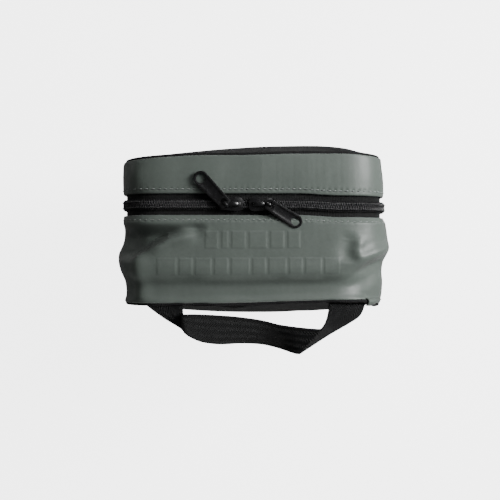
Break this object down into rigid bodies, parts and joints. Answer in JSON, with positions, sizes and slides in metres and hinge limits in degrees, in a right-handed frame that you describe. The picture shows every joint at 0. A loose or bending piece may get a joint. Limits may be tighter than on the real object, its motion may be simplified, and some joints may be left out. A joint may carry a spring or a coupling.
{
  "type": "airway tool pouch",
  "caption": "Soft zipped pouch for airway tools such as a laryngoscope set, with a hinged lid, twin sliders, inner loops and pocket, and a webbing handle.",
  "frame": {"origin": "underside of the spine, midway along the width, under the case half", "axes": "+Z from the spine up to the zip side, +Y from the case half to the lid half, +X to the right when looking from the case panel"},
  "size_m": [0.1816, 0.1412, 0.206],
  "materials": {
    "coated_fabric": "satin grey-green coated fabric, smooth face with faint grain",
    "black_fabric": "matte black coated woven sheet",
    "binding_tape": "matte black grosgrain",
    "foam": "matte closed-cell foam",
    "lining": "matte dark grey woven lining",
    "elastic": "matte black ribbed elastic",
    "mesh": "black knitted mesh",
    "zip_tape": "matte black woven tape",
    "zip_coil": "black nylon coil, soft sheen",
    "enamel": "glossy black enamel on die-cast zinc",
    "webbing": "matte black herringbone webbing"
  },
  "bodies": {
    "case": {"case_gusset": "coated_fabric", "case_spine": "coated_fabric", "case_back_panel": "black_fabric", "case_foam_pad": "foam", "case_lining": "lining", "case_seam_binding": "binding_tape", "loops_lower": "elastic", "loops_upper": "elastic", "case_zip_tape": "zip_tape", "case_zip_coil": "zip_coil", "zip_end_tab_left": "black_fabric", "zip_end_tab_right": "black_fabric", "handle_anchor_left": "webbing", "handle_anchor_right": "webbing", "handle_tail_left": "webbing", "handle_tail_right": "webbing"},
    "hinge": {"hinge_strip": "coated_fabric"},
    "lid": {"lid_gusset": "coated_fabric", "lid_spine": "coated_fabric", "lid_front_panel": "black_fabric", "lid_foam_pad": "foam", "lid_lining": "lining", "lid_seam_binding": "binding_tape", "mesh_pocket": "mesh", "pocket_elastic": "elastic", "lid_zip_tape": "zip_tape", "lid_zip_coil": "zip_coil"},
    "slider_left": {"slider_left": "enamel", "bail_left": "enamel"},
    "slider_right": {"slider_right": "enamel", "bail_right": "enamel"},
    "pull_left": {"pull_left": "enamel"},
    "pull_right": {"pull_right": "enamel"},
    "handle": {"handle_webbing": "webbing"}
  },
  "joints": [
    {"name": "spine_fold", "type": "hinge", "parent": "case", "child": "hinge", "pos_m": [0, 0.00835, 0], "axis": [-1, 0, 0], "range_deg": [0, 88]},
    {"name": "lid_fold", "type": "hinge", "parent": "hinge", "child": "lid", "pos_m": [0, 0.02235, 0], "axis": [-1, 0, 0], "range_deg": [0, 85]},
    {"name": "slider_left_travel", "type": "slide", "parent": "case", "child": "slider_left", "axis": [-1, 0, 0], "range_m": [0, 0.026]},
    {"name": "slider_right_travel", "type": "slide", "parent": "case", "child": "slider_right", "axis": [1, 0, 0], "range_m": [0, 0.035]},
    {"name": "pull_left_flip", "type": "hinge", "parent": "slider_left", "child": "pull_left", "pos_m": [-0.0177, 0.01535, 0.2034], "axis": [0.7193, 0.6947, 0], "range_deg": [0, 150]},
    {"name": "pull_right_flip", "type": "hinge", "parent": "slider_right", "child": "pull_right", "pos_m": [0.0106, 0.01535, 0.2034], "axis": [-0.5373, -0.8434, 0], "range_deg": [0, 150]},
    {"name": "handle_swing", "type": "hinge", "parent": "case", "child": "handle", "pos_m": [0, -0.0552, 0.1931], "axis": [-1, 0, 0], "range_deg": [-60, 90]}
  ]
}
